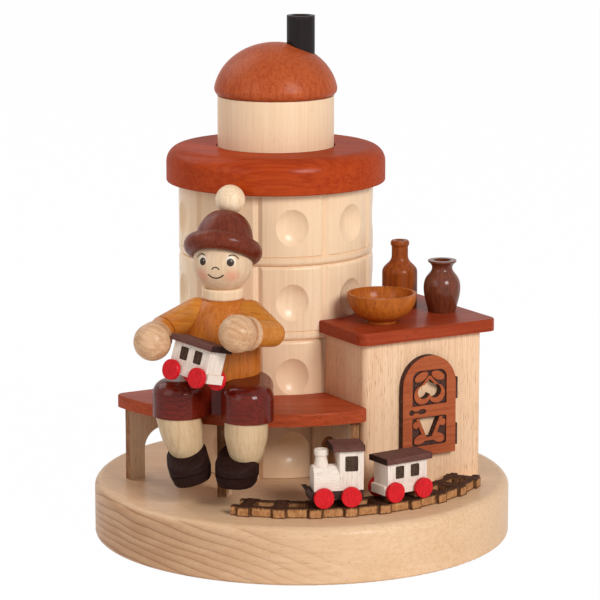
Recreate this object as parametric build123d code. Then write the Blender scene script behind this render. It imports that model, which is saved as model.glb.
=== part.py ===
from build123d import *
import os
from math import atan2, cos, degrees, hypot, radians, sin, sqrt

# A wooden incense smoker: a round tiled stove with a lift-off top, a bench with a boy who
# holds a toy wagon, a side stove with crockery, and a toy train on a track.
# The frame's origin is the middle of the base's underside, +Z is up and the front faces -Y.
# All sizes are in millimetres and degrees.

os.makedirs("parts", exist_ok=True)

# Clearances
glue_gap = 0.05
seat_clearance = 0.2
neck_clearance = 0.5
running_clearance = 0.06
body_clearance = 0.3

# Base plate
base_radius = 67.5
base_height = 18.0
base_top_round = 3.0
base_foot_round = 1.0

# Stove: a stack of equal turned rows, each with tiles round it
stove_x = -8.5
stove_y = 24.9
stove_radius = 32.0
stove_seat_depth = 3.0
row_count = 4
row_height = 24.3
row_edge_round = 1.3
tile_count = 9
tile_turn = -80.0
tile_groove_width = 3.2
tile_groove_depth = 0.9
bead_height = 2.8
score_width = 0.7
score_depth = 0.5
dimple_ball_radius = 10.0
dimple_depth = 2.0
dimple_height = 12.5

# Cornice, neck, dome and chimney
cornice_radius = 36.0
cornice_height = 11.6
cornice_lap = 0.9
cornice_top_round = 5.2
cornice_foot_round = 0.6
neck_radius = 19.1
neck_height = 27.0
neck_wall = 3.5
dome_radius = 20.4
dome_height = 17.4
dome_fullness = 0.5523
dome_rim_round = 2.4
dome_bore_radius = 13.0
dome_bore_depth = 7.3
chimney_offset = 8.2
chimney_radius = 4.6
chimney_wall = 1.3
chimney_rise = 8.8
chimney_socket_height = 9.6
air_hole_radius = 2.5
air_hole_height = 4.0

# Metal plate that the incense cone stands on, with its nail
plate_clearance = 1.2
plate_thickness = 0.8
plate_rim_width = 0.9
plate_rim_height = 0.9
nail_radius = 0.7
nail_length = 8.0
nail_head_radius = 1.7
nail_head_height = 0.5

# Bench
bench_start = -150.0
bench_end = -60.0
bench_depth = 28.0
bench_height = 28.0
bench_thickness = 4.0
bench_corner_round = 2.8
bench_edge_round = 0.5
leg_thickness = 3.0
leg_setback = 1.5
leg_front_inset = 2.5
leg_end_inset = 2.5
leg_front_foot = 5.4
leg_back_foot = 5.0
leg_arch_crown = 7.5
middle_leg_angle = -107.0

# Side stove with its slab and door
side_front = 56.6
side_width = 44.0
side_depth = 44.0
side_height = 48.0
side_near_round = 2.4
side_far_round = 1.0
slab_thickness = 4.0
slab_overhang = 2.2
slab_end_overhang = 5.2
slab_corner_round = 3.5
slab_edge_round = 0.6
door_left = 13.0
door_rise = 10.0
door_width = 19.9
door_height = 32.6
door_thickness = 2.5
engraving_depth = 0.6
panel_width = 12.9
panel_outline = 0.35
panel_corner_round = 0.8
upper_panel_rise = 16.5
upper_panel_height = 11.4
upper_panel_round = 2.8
lower_panel_rise = 3.2
lower_panel_height = 9.4
heart_lobe_radius = 2.25
heart_spread = 2.15
heart_height = 6.4
heart_lift = 2.1
leaf_lobe_radius = 3.1
leaf_spread = 2.7
leaf_height = 9.6
leaf_lift = 0.4
hook_length = 5.2
hook_width = 2.7
hook_out = 3.15
hook_drop = 2.0
hook_droop = 24.0
parting_width = 2.2
parting_depth = 2.2
slot_top_width = 7.8
slot_foot_width = 2.0
slot_height = 6.3
slot_band = 1.1
curl_length = 4.6
curl_width = 3.0
curl_out = 3.5
curl_rise = 2.2
curl_tilt = 20.0
knob_radius = 1.15
latch_ring_radius = 0.95
latch_ring_out = 6.7
latch_grip_length = 3.2
latch_grip_width = 1.7
latch_grip_out = 2.8
latch_bar_width = 0.6
hinge_tab_width = 1.1
hinge_tab_height = 7.1
hinge_tab_rises = (2.1, 17.3)

# Crockery on the slab: place along and in front of the stove axis
bowl_along = 13.8
bowl_out = 44.5
bowl_radius = 11.15
bowl_foot_radius = 4.75
bowl_height = 9.5
bowl_wall = 1.1
bowl_foot_height = 0.8
bowl_floor = 1.8
bowl_outer_bulge = (0.83, 0.4)
bowl_inner_bulge = (0.79, 0.47)
bowl_well_radius = 2.5
bottle_along = 32.6
bottle_out = 25.1
bottle_radius = 5.8
bottle_body_height = 11.2
bottle_shoulder_height = 5.8
bottle_foot_round = 0.6
bottle_neck_radius = 2.7
bottle_height = 22.0
bottle_lip_radius = 3.1
bottle_lip_height = 2.0
bottle_bore_radius = 1.5
bottle_bore_depth = 12.0
jug_along = 39.9
jug_out = 39.5
jug_belly_radius = 6.0
jug_foot_radius = 4.5
jug_rim_radius = 4.65
jug_lip_height = 0.5
jug_profile = ((0.81, 0.09), (0.92, 0.24), (1.0, 0.5), (0.86, 0.67), (0.57, 0.82))
jug_height = 17.0
jug_bore_radius = 2.8

# Track: two rails on sleepers, sawn from one thin sheet
track_x = -0.4
track_y = 5.9
track_radius = 56.2
track_width = 11.4
track_thickness = 3.0
rail_width = 2.2
sleeper_width = 4.0
sleeper_overhang = 0.9
sleeper_count = 9
first_sleeper = -106.7
sleeper_pitch = 10.5

# Train wheels, shared by the engine and both wagons
wheel_radius = 3.2
wheel_thickness = 1.6
wheel_edge_round = 0.25
wheel_lift = 0.1
axle_radius = 0.5
axle_end_inset = 0.5
car_width = 7.4
frame_width = 7.2
frame_bottom = 2.4
frame_top = 5.2
roof_width = 9.6
roof_thickness = 1.9
roof_edge_round = 0.5
window_depth = 0.4
window_corner_round = 0.5

# Engine: the front faces -X before it is set on the track
engine_angle = -79.15
engine_wheel_spacing = 8.7
engine_front = -7.2
boiler_length = 8.0
boiler_height = 7.7
cab_length = 7.6
cab_height = 12.5
cab_window_width = 4.1
cab_window_height = 4.9
cab_window_rise = 5.9
engine_roof_overhang = 2.4
engine_roof_back = 0.2
frame_nose = 1.1
bumper_thickness = 1.7
bumper_rise = 0.7
stack_setback = 2.9
stack_lip_radius = 2.25
stack_lip_height = 1.7
stack_lip_round = 0.4
stack_flare_height = 0.6
stack_bore_radius = 1.05
stack_socket_depth = 1.0
stack_waist_radius = 1.75
stack_base_radius = 2.2
stack_height = 5.0

# Wagon: one runs on the track and the boy holds another
wagon_angle = -56.2
wagon_wheel_spacing = 10.8
wagon_body_length = 15.0
wagon_body_height = 7.1
wagon_end_overhang = 1.2
wagon_window_width = 3.3
wagon_window_height = 4.1
wagon_window_rise = 1.9
wagon_window_spacing = 5.75

# Boy on the bench, modelled facing -Y in front of the stove axis
boy_angle = -107.0
seat_setback = 9.0
seat_sideways = -1.5
seat_radius = 11.4
seat_height = 10.2
hip_spread = 6.6
knee_spread = 11.3
knee_reach = 5.7
thigh_radius = 8.2
thigh_height = 11.5
thigh_round = 4.6
shin_radius = 6.8
shin_length = 15.0
shin_heel = (0.68, 0.17)
shin_calf = (0.94, 0.55)
shin_reach = 6.8
right_shin_lean = 4.2
left_shin_lean = 0.2
shoe_length = 16.0
shoe_width = 13.0
shoe_height = 13.0
shoe_sole_height = 3.6
shoe_groove = 0.4
shoe_upper_round = 1.6
shoe_sole_taper = 14.0
shoe_sole_round = 1.4
shoe_instep_height = 9.7
shoe_slope = 24.0
shoe_toe_shift = 1.5
shoe_clearance = 7.5
right_shoe_turn = 16.0
left_shoe_turn = 4.0
right_shoe_inset = 0.0
left_shoe_inset = 2.4
torso_radius = 12.0
torso_height = 24.8
torso_top_radius = 6.2
torso_edge_round = 1.2
torso_straight = 0.34
torso_chest = (0.92, 0.62)
collar_radius = 6.6
collar_height = 3.6
collar_round = 0.8
head_radius = 9.4
head_sink = 1.6
head_turn = 4.9
hat_tilt = 28.0
hat_lean = 2.0
hat_lift = 4.3
hat_back = 0.5
hat_brim_radius = 12.45
hat_brim_thickness = 6.0
hat_crown_radius = 9.6
hat_crown_height = 12.4
hat_bulge = (0.78, 0.68)
hat_clearance = 0.1
pompom_radius = 4.7
pompom_sink = 0.7
arm_radius = 4.2
arm_taper = 0.9
hand_radius = 5.9
cuff_radius = 5.3
cuff_width = 2.2
cuff_setback = 6.0
# Arm joints as (sideways, forwards of the seat, above the bench)
right_shoulder = (-9.2, 3.0, 30.2)
right_elbow = (-19.9, 4.6, 25.0)
right_palm = (-16.8, 23.2, 24.7)
left_shoulder = (7.7, 1.2, 30.1)
left_elbow = (17.0, 7.8, 26.3)
left_palm = (11.6, 25.1, 29.4)

# Held wagon: middle of its wheel line from the seat, with its turn and tilt
toy_sideways = -3.5
toy_forwards = 24.8
toy_rise = 12.2
toy_turn = -24.0
toy_tilt = 6.0
toy_roll = 14.0

# Levels and shared places worked out from the sizes above
STANDING = (Align.CENTER, Align.CENTER, Align.MIN)
rows_foot = base_height - stove_seat_depth
rows_top = rows_foot + row_count * row_height
cornice_foot = rows_top - cornice_lap
neck_top = rows_top + neck_height
dome_top = neck_top + dome_height
chimney_top = dome_top + chimney_rise
chimney_foot = neck_top + chimney_socket_height
neck_bore_radius = neck_radius - neck_wall
flue_radius = chimney_radius - chimney_wall
bench_top = base_height + bench_height
bench_inner = stove_radius + seat_clearance
bench_outer = stove_radius + bench_depth
side_top = base_height + side_height
slab_top = side_top + slab_thickness
rail_top = base_height + track_thickness
axle_height = wheel_radius + wheel_lift
wheel_inner = car_width / 2 + body_clearance
wheel_outer = wheel_inner + wheel_thickness
seat_out = bench_outer - seat_setback
knee_out = bench_outer + knee_reach
torso_foot = bench_top + seat_height
torso_top = torso_foot + torso_height
collar_top = torso_top + collar_height
head_middle = collar_top + head_radius - head_sink


def stove_frame(turn):
    """Place that stands on the stove axis, turned about it."""
    return Location((stove_x, stove_y, 0), (0, 0, turn))


side_frame = stove_frame(bench_end + 90)
boy_frame = stove_frame(boy_angle + 90)


def track_frame(angle):
    """Place on the rails at an angle round the track, with +X along the track."""
    x = track_x + track_radius * cos(radians(angle))
    y = track_y + track_radius * sin(radians(angle))
    return Location((x, y, rail_top), (0, 0, angle + 90))


def save(name, *solids):
    """Write one node, which holds one solid or a group of separate solids."""
    whole = solids[0] if len(solids) == 1 else Compound(children=list(solids))
    export_step(whole, f"parts/{name}.step")


def upright(radius, height, level=0.0):
    """Cylinder that stands on a level."""
    return Pos(0, 0, level) * Cylinder(radius, height, align=STANDING)


def turned(*edges):
    """Solid of revolution about Z from an outline in the XZ plane."""
    return revolve(Plane.XZ * make_face(edges), Axis.Z)


def board(width, depth, height, level=0.0):
    """Square block that stands on a level."""
    return Pos(0, 0, level) * Box(width, depth, height, align=STANDING)


def sector(radius, start, end, height):
    """Prism over a pie slice that reaches past a radius."""
    middle = radians((start + end) / 2)
    half = radians((end - start) / 2)
    corners = [(0, 0)]
    for angle, reach in ((radians(start), 1), (middle, 1 / cos(half)), (radians(end), 1)):
        corners.append((radius * reach * cos(angle), radius * reach * sin(angle)))
    return extrude(make_face(Polyline(*corners, close=True)), height)


def base_plate():
    plate = upright(base_radius, base_height)
    rims = plate.edges().filter_by(GeomType.CIRCLE).sort_by(Axis.Z)
    plate = fillet(rims[-1:], base_top_round)
    rims = plate.edges().filter_by(GeomType.CIRCLE).sort_by(Axis.Z)
    plate = fillet(rims[:1], base_foot_round)
    seat = upright(stove_radius + seat_clearance, stove_seat_depth, rows_foot)
    return plate - stove_frame(0) * seat


def stove_row(index):
    row = upright(stove_radius, row_height)
    row = fillet(row.edges().filter_by(GeomType.CIRCLE), row_edge_round)
    score = turned(Polyline((stove_radius - score_depth, bead_height),
                            (stove_radius + score_depth, bead_height - score_width),
                            (stove_radius + score_depth, bead_height + score_width), close=True))
    groove_tip = stove_radius - tile_groove_depth
    groove_mouth = stove_radius + tile_groove_depth
    groove = extrude(make_face(Polyline((groove_tip, 0), (groove_mouth, -tile_groove_width),
                                        (groove_mouth, tile_groove_width), close=True)),
                     row_height - bead_height)
    dimple_out = stove_radius + dimple_ball_radius - dimple_depth
    cuts = [score]
    pitch = 360 / tile_count
    for tile in range(tile_count):
        turn = tile_turn + tile * pitch
        cuts.append(Rot(0, 0, turn + pitch / 2) * Pos(0, 0, bead_height) * groove)
        cuts.append(Rot(0, 0, turn) * Pos(dimple_out, 0, dimple_height) * Sphere(dimple_ball_radius))
    row = row - cuts
    if index == row_count - 1:
        row -= upright(nail_radius + glue_gap, nail_length, row_height - nail_length)
    return stove_frame(0) * Pos(0, 0, rows_foot + index * row_height) * row


def air_hole():
    """Bore from the stove axis out to the back, level with the foot of the neck."""
    hole = Cylinder(air_hole_radius, 2 * cornice_radius, align=STANDING)
    return stove_frame(0) * Pos(0, 0, rows_top + air_hole_height) * Rot(-90, 0, 0) * hole


def cornice_ring():
    ring = upright(cornice_radius, cornice_height, cornice_foot)
    rims = ring.edges().filter_by(GeomType.CIRCLE).sort_by(Axis.Z)
    ring = fillet(rims[-1:], cornice_top_round)
    rims = ring.edges().filter_by(GeomType.CIRCLE).sort_by(Axis.Z)
    ring = fillet(rims[:1], cornice_foot_round)
    ring -= upright(stove_radius + seat_clearance, cornice_lap, cornice_foot)
    ring -= upright(neck_radius + neck_clearance, cornice_height, cornice_foot)
    return stove_frame(0) * ring - air_hole()


def neck():
    tube = upright(neck_radius, neck_height, rows_top) - upright(neck_bore_radius, neck_height, rows_top)
    return stove_frame(0) * tube - air_hole()


def chimney_place():
    return stove_frame(0) * Pos(chimney_offset, 0, 0)


def dome():
    foot_pull = (dome_radius, neck_top + dome_fullness * dome_height)
    top_pull = (dome_fullness * dome_radius, dome_top)
    crown = Bezier((dome_radius, neck_top), foot_pull, top_pull, (0, dome_top))
    cap = turned(Line((0, neck_top), (dome_radius, neck_top)), crown, Line((0, dome_top), (0, neck_top)))
    rims = cap.edges().filter_by(GeomType.CIRCLE).sort_by(Axis.Z)
    cap = fillet(rims[:1], dome_rim_round)
    cap -= upright(dome_bore_radius, dome_bore_depth, neck_top)
    cap = stove_frame(0) * cap
    cap -= chimney_place() * upright(flue_radius, dome_height, neck_top)
    return cap - chimney_place() * upright(chimney_radius + glue_gap, dome_height, chimney_foot)


def chimney():
    height = chimney_top - chimney_foot
    pipe = upright(chimney_radius, height, chimney_foot) - upright(flue_radius, height, chimney_foot)
    return chimney_place() * pipe


def cone_plate():
    radius = neck_bore_radius - plate_clearance
    plate = upright(radius, plate_thickness + plate_rim_height, rows_top)
    plate -= upright(radius - plate_rim_width, plate_rim_height, rows_top + plate_thickness)
    plate -= upright(nail_radius + glue_gap, plate_thickness, rows_top)
    return stove_frame(0) * plate


def plate_nail():
    shank_foot = rows_top - nail_length
    nail = upright(nail_radius, nail_length + plate_thickness, shank_foot)
    nail += upright(nail_head_radius, nail_head_height, rows_top + plate_thickness)
    return stove_frame(0) * nail


def bench_seat():
    ring = upright(bench_outer, bench_thickness) - upright(bench_inner, bench_thickness)
    seat = ring & sector(2 * bench_outer, bench_start, bench_end, bench_thickness)
    corners = seat.edges().filter_by(Axis.Z).sort_by(lambda edge: hypot(edge.center().X, edge.center().Y))
    seat = fillet(corners[-2:], bench_corner_round)
    top = seat.faces().sort_by(Axis.Z)[-1]
    seat = fillet(top.edges(), bench_edge_round)
    return stove_frame(0) * Pos(0, 0, bench_top - bench_thickness) * seat


def bench_leg(angle, shift):
    inner = stove_radius + leg_setback
    outer = bench_outer - leg_front_inset
    height = bench_height - bench_thickness
    arch_inner = inner + leg_back_foot
    arch_outer = outer - leg_front_foot
    arch_radius = (arch_outer - arch_inner) / 2
    spring = height - leg_arch_crown - arch_radius
    panel = Pos((inner + outer) / 2, height / 2) * Rectangle(outer - inner, height)
    middle = (arch_inner + arch_outer) / 2
    panel -= Pos(middle, spring / 2) * Rectangle(2 * arch_radius, spring)
    panel -= Pos(middle, spring) * Circle(arch_radius)
    leg = extrude(Plane.XZ * panel, leg_thickness / 2, both=True)
    return stove_frame(angle) * Pos(0, shift, base_height) * leg


def bench_legs():
    inset = leg_end_inset + leg_thickness / 2
    return [bench_leg(bench_start, inset), bench_leg(middle_leg_angle, 0), bench_leg(bench_end, -inset)]


def side_box(left, right, front, back, height, level):
    """Block beside the stove, hollowed round to fit against the rows."""
    block = Pos((left + right) / 2, -(front + back) / 2, 0) * board(right - left, front - back, height, level)
    return block - upright(stove_radius + seat_clearance, height, level)


def side_stove():
    block = side_box(0, side_width, side_front, side_front - side_depth, side_height, base_height)
    uprights = block.edges().filter_by(Axis.Z).group_by(Axis.Y)[0].sort_by(Axis.X)
    block = fillet(uprights[:1], side_near_round)
    uprights = block.edges().filter_by(Axis.Z).sort_by(Axis.X)
    block = fillet(uprights[-2:], side_far_round)
    return side_frame * block


def side_stove_top():
    slab = side_box(-slab_overhang, side_width + slab_end_overhang, side_front + slab_overhang,
                    side_front - side_depth - slab_overhang, slab_thickness, side_top)
    uprights = slab.edges().filter_by(Axis.Z)
    slab = fillet(uprights.group_by(Axis.Y)[0], slab_corner_round)
    top = slab.faces().sort_by(Axis.Z)[-1]
    slab = fillet(top.edges(), slab_edge_round)
    return side_frame * slab


def door_plane(depth):
    """Plane on the side stove's front, raised by a depth, with the door's foot middle at its origin."""
    middle = door_left + door_width / 2
    corner = (middle, -side_front - depth, base_height + door_rise)
    return Plane(origin=corner, x_dir=(1, 0, 0), z_dir=(0, -1, 0))


def arched(width, height):
    """Upright panel with a half-round head, standing on the origin."""
    radius = width / 2
    spring = height - radius
    return Pos(0, spring / 2) * Rectangle(width, spring) + Pos(0, spring) * Circle(radius)


def heart(lobe, spread, height):
    """Heart with its point up and its lobes on the origin's level."""
    shape = Pos(-spread, lobe) * Circle(lobe) + Pos(spread, lobe) * Circle(lobe)
    reach = spread + lobe
    return shape + make_face(Polyline((-reach, lobe), (reach, lobe), (0, height), close=True))


def both_sides(shape):
    return shape + mirror(shape, about=Plane.YZ)


def upper_panel(inset):
    """Recess outline, nearly square below and round above, drawn in by an inset."""
    width = panel_width - 2 * inset
    height = upper_panel_height - 2 * inset
    middle = upper_panel_rise + upper_panel_height / 2
    round_all = Pos(0, middle) * RectangleRounded(width, height, upper_panel_round - inset)
    return round_all + Pos(0, middle - height / 4) * Rectangle(width, height / 2)


def lower_panel(inset):
    middle = lower_panel_rise + lower_panel_height / 2
    return Pos(0, middle) * RectangleRounded(panel_width - 2 * inset, lower_panel_height - 2 * inset,
                                             panel_corner_round - inset)


def upper_leaf():
    """Heart-shaped leaf that ends above in two hooks with a parting between them."""
    top = upper_panel_rise + upper_panel_height
    leaf = Pos(0, upper_panel_rise + leaf_lift) * heart(leaf_lobe_radius, leaf_spread, leaf_height)
    leaf += both_sides(Pos(hook_out, top - hook_drop) * Rot(0, 0, -hook_droop)
                       * Ellipse(hook_length / 2, hook_width / 2))
    leaf -= make_face(Polyline((-parting_width / 2, top), (parting_width / 2, top), (0, top - parting_depth),
                               close=True))
    return leaf & upper_panel(panel_outline)


def slot_outline(band):
    """Tapering slot under the lower panel's top, widened on both sides by a band."""
    top = lower_panel_rise + lower_panel_height - panel_outline
    foot = top - slot_height - band
    upper = slot_top_width / 2 + band
    lower = slot_foot_width / 2 + band
    return make_face(Polyline((-upper, top), (upper, top), (lower, foot), (-lower, foot), close=True))


def lower_leaf():
    """Bands along the slot, with a knob at each top end and a curl at each foot."""
    knob_level = lower_panel_rise + lower_panel_height - 2 * knob_radius
    leaf = slot_outline(slot_band)
    leaf += both_sides(Pos(slot_top_width / 2 + knob_radius, knob_level) * Circle(knob_radius))
    leaf += both_sides(Pos(curl_out, lower_panel_rise + curl_rise) * Rot(0, 0, -curl_tilt)
                       * Ellipse(curl_length / 2, curl_width / 2))
    return leaf & lower_panel(panel_outline)


def latch():
    level = (lower_panel_rise + lower_panel_height + upper_panel_rise) / 2
    bar = latch_ring_out - latch_grip_out
    shape = Pos(-latch_ring_out, level) * Circle(latch_ring_radius)
    shape += Pos(-latch_grip_out, level) * Ellipse(latch_grip_length / 2, latch_grip_width / 2)
    return shape + Pos(-latch_grip_out - bar / 2, level) * Rectangle(bar, latch_bar_width)


def oven_door():
    plate = extrude(door_plane(0) * arched(door_width, door_height), door_thickness)
    front = door_plane(door_thickness)
    ground = (upper_panel(0) - upper_leaf()) + (lower_panel(0) - lower_leaf()) + latch()
    plate -= extrude(front * ground, -engraving_depth)
    heart_hole = Pos(0, upper_panel_rise + heart_lift) * heart(heart_lobe_radius, heart_spread, heart_height)
    plate -= extrude(front * (heart_hole + slot_outline(0)), -door_thickness)
    for rise in hinge_tab_rises:
        tab = Pos(door_width / 2 + hinge_tab_width / 2, rise + hinge_tab_height / 2)
        plate += extrude(door_plane(0) * tab * Rectangle(hinge_tab_width, hinge_tab_height),
                         door_thickness - engraving_depth)
    return side_frame * plate


def on_slab(along, out, piece):
    return side_frame * Pos(along, -out, slab_top) * piece


def bowl():
    rim = bowl_radius - bowl_wall
    outer = ThreePointArc((bowl_foot_radius, bowl_foot_height),
                          (bowl_outer_bulge[0] * bowl_radius, bowl_outer_bulge[1] * bowl_height),
                          (bowl_radius, bowl_height))
    inner = ThreePointArc((rim, bowl_height), (bowl_inner_bulge[0] * rim, bowl_inner_bulge[1] * bowl_height),
                          (bowl_well_radius, bowl_floor))
    shape = turned(Line((0, 0), (bowl_foot_radius, 0)),
                   Line((bowl_foot_radius, 0), (bowl_foot_radius, bowl_foot_height)), outer,
                   Line((bowl_radius, bowl_height), (rim, bowl_height)), inner,
                   Line((bowl_well_radius, bowl_floor), (0, bowl_floor)), Line((0, bowl_floor), (0, 0)))
    return on_slab(bowl_along, bowl_out, shape)


def bottle():
    shoulder = bottle_body_height
    neck_foot = shoulder + bottle_shoulder_height
    lip = bottle_height - bottle_lip_height
    curve = Spline((bottle_radius, shoulder), (bottle_neck_radius, neck_foot), tangents=((0, 1), (0, 1)))
    bead = ThreePointArc((bottle_neck_radius, lip), (bottle_lip_radius, lip + bottle_lip_height / 2),
                         (bottle_neck_radius, bottle_height))
    shape = turned(Line((0, 0), (bottle_radius, 0)), Line((bottle_radius, 0), (bottle_radius, shoulder)),
                   curve, Line((bottle_neck_radius, neck_foot), (bottle_neck_radius, lip)), bead,
                   Line((bottle_neck_radius, bottle_height), (0, bottle_height)),
                   Line((0, bottle_height), (0, 0)))
    foot = shape.edges().filter_by(GeomType.CIRCLE).sort_by(Axis.Z)[:1]
    shape = fillet(foot, bottle_foot_round)
    shape -= upright(bottle_bore_radius, bottle_bore_depth, bottle_height - bottle_bore_depth)
    return on_slab(bottle_along, bottle_out, shape)


def jug():
    lip = jug_height - jug_lip_height
    points = [(reach * jug_belly_radius, rise * jug_height) for reach, rise in jug_profile]
    side = Spline((jug_foot_radius, 0), *points, (jug_rim_radius, lip))
    shape = turned(Line((0, 0), (jug_foot_radius, 0)), side,
                   Line((jug_rim_radius, lip), (jug_rim_radius, jug_height)),
                   Line((jug_rim_radius, jug_height), (0, jug_height)), Line((0, jug_height), (0, 0)))
    shape -= upright(jug_bore_radius, jug_height - jug_foot_radius, jug_foot_radius)
    return on_slab(jug_along, jug_out, shape)


def track():
    outer = track_radius + track_width / 2 - sleeper_overhang
    inner = track_radius - track_width / 2 + sleeper_overhang
    last_sleeper = first_sleeper + (sleeper_count - 1) * sleeper_pitch
    end_margin = degrees(sleeper_width / track_radius)
    rails = upright(outer, track_thickness) - upright(outer - rail_width, track_thickness)
    rails += upright(inner + rail_width, track_thickness) - upright(inner, track_thickness)
    rails &= sector(2 * outer, first_sleeper - end_margin, last_sleeper + end_margin, track_thickness)
    sleeper = Pos(track_radius, 0, 0) * board(track_width, sleeper_width, track_thickness)
    sleepers = [Rot(0, 0, first_sleeper + count * sleeper_pitch) * sleeper for count in range(sleeper_count)]
    return Pos(track_x, track_y, base_height) * (rails + sleepers)


def wheel_pair(along):
    """Two plain discs on the ends of one axle."""
    wheels = []
    for side in (-1, 1):
        disc = Rot(90, 0, 0) * Cylinder(wheel_radius, wheel_thickness)
        disc = fillet(disc.edges().filter_by(GeomType.CIRCLE), wheel_edge_round)
        socket = Rot(90, 0, 0) * Cylinder(axle_radius + glue_gap, wheel_thickness)
        disc -= Pos(0, -side * axle_end_inset, 0) * socket
        wheels.append(Pos(along, side * (wheel_inner + wheel_thickness / 2), axle_height) * disc)
    return wheels


def axle(along):
    length = 2 * (wheel_outer - axle_end_inset)
    return Pos(along, 0, axle_height) * Rot(90, 0, 0) * Cylinder(axle_radius, length)


def axle_holes(spacing):
    hole = Rot(90, 0, 0) * Cylinder(axle_radius + running_clearance, 2 * wheel_outer)
    return [Pos(side * spacing / 2, 0, axle_height) * hole for side in (-1, 1)]


def roof_board(front, back, level):
    roof = Pos((front + back) / 2, 0, 0) * board(back - front, roof_width, roof_thickness, level)
    edges = roof.edges().filter_by(Axis.X).group_by(Axis.Z)[-1]
    return fillet(edges, roof_edge_round)


def window_cut(width, height, along, level):
    """Shallow window pockets on both sides of a car body."""
    cuts = []
    for side in (-1, 1):
        pane = Plane(origin=(along, side * car_width / 2, level), x_dir=(1, 0, 0), z_dir=(0, -side, 0))
        cuts.append(extrude(pane * RectangleRounded(width, height, window_corner_round), window_depth))
    return cuts


engine_cab_front = engine_front + boiler_length
engine_back = engine_cab_front + cab_length
cab_top = frame_top + cab_height
boiler_top = frame_top + boiler_height


def engine_frame_board():
    nose = engine_front - frame_nose
    height = frame_top - frame_bottom
    plank = Pos((nose + engine_back) / 2, 0, 0) * board(engine_back - nose, frame_width, height, frame_bottom)
    tip = nose - bumper_thickness
    crest = frame_top + bumper_rise
    outline = [Line((nose, frame_bottom), (nose, crest)), Line((nose, crest), (tip, crest)),
               RadiusArc((tip, crest), (nose, frame_bottom), 2 * (crest - frame_bottom))]
    bumper = extrude(Plane.XZ * make_face(outline), frame_width / 2, both=True)
    return plank + bumper - axle_holes(engine_wheel_spacing)


def engine_boiler():
    radius = car_width / 2
    spring = boiler_top - radius
    end = Pos(0, (frame_top + spring) / 2) * Rectangle(car_width, spring - frame_top)
    end += Pos(0, spring) * Circle(radius)
    end -= Pos(0, frame_top - radius) * Rectangle(2 * car_width, 2 * radius)
    body = extrude(Plane.YZ * end, boiler_length)
    body = Pos(engine_front, 0, 0) * body
    socket = upright(stack_base_radius + glue_gap, radius, boiler_top - stack_socket_depth)
    return body - Pos(engine_front + stack_setback, 0, 0) * socket


def engine_stack():
    foot = boiler_top - stack_socket_depth
    top = boiler_top + stack_height
    lip = top - stack_lip_height
    waist = lip - stack_flare_height
    outline = [(0, foot), (stack_base_radius, foot), (stack_base_radius, boiler_top),
               (stack_waist_radius, waist), (stack_lip_radius, lip), (stack_lip_radius, top), (0, top)]
    shape = turned(Polyline(*outline, close=True))
    rims = shape.edges().filter_by(GeomType.CIRCLE).sort_by(Axis.Z)
    shape = fillet(rims[-2:], stack_lip_round)
    shape -= upright(stack_bore_radius, stack_lip_height, lip)
    return Pos(engine_front + stack_setback, 0, 0) * shape


def engine_cab():
    middle = (engine_cab_front + engine_back) / 2
    cab = Pos(middle, 0, 0) * board(cab_length, car_width, cab_height, frame_top)
    level = frame_top + cab_window_rise + cab_window_height / 2
    return cab - window_cut(cab_window_width, cab_window_height, middle, level)


def wagon_frame_board():
    length = wagon_body_length + 2 * wagon_end_overhang
    plank = board(length, frame_width, frame_top - frame_bottom, frame_bottom)
    return plank - axle_holes(wagon_wheel_spacing)


def wagon_body():
    body = board(wagon_body_length, car_width, wagon_body_height, frame_top)
    level = frame_top + wagon_window_rise + wagon_window_height / 2
    for side in (-1, 1):
        body -= window_cut(wagon_window_width, wagon_window_height, side * wagon_window_spacing / 2, level)
    return body


def save_wheels(prefix, place, spacing):
    for end, side in (("front", -1), ("rear", 1)):
        save(f"{prefix}_{end}_axle", place * axle(side * spacing / 2))
        save(f"{prefix}_{end}_wheels", *[place * wheel for wheel in wheel_pair(side * spacing / 2)])


def save_engine():
    place = track_frame(engine_angle)
    save("loco_chassis", place * engine_frame_board())
    save("loco_boiler", place * engine_boiler())
    save("loco_stack", place * engine_stack())
    save("loco_cab", place * engine_cab())
    roof = roof_board(engine_cab_front - engine_roof_overhang, engine_back + engine_roof_back, cab_top)
    save("loco_roof", place * roof)
    save_wheels("loco", place, engine_wheel_spacing)


def save_wagon(prefix, place):
    reach = wagon_body_length / 2 + wagon_end_overhang
    save(f"{prefix}_chassis", place * wagon_frame_board())
    save(f"{prefix}_body", place * wagon_body())
    save(f"{prefix}_roof", place * roof_board(-reach, reach, frame_top + wagon_body_height))
    save_wheels(prefix, place, wagon_wheel_spacing)


def toy_place():
    place = Location((toy_sideways, -seat_out - toy_forwards, bench_top + toy_rise), (0, 0, toy_turn))
    return boy_frame * place * Rot(0, toy_tilt, 0) * Rot(-toy_roll, 0, 0)


def boy_point(point):
    """Point in the boy's frame from (sideways, forwards of the seat, above the bench)."""
    sideways, forwards, rise = point
    return Vector(sideways, -seat_out - forwards, bench_top + rise)


def boy_axis(piece):
    """Set a turned piece on the upright line through the boy's seat."""
    return Pos(seat_sideways, -seat_out, 0) * piece


def trousers_seat():
    return boy_axis(upright(seat_radius, seat_height, bench_top))


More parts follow.
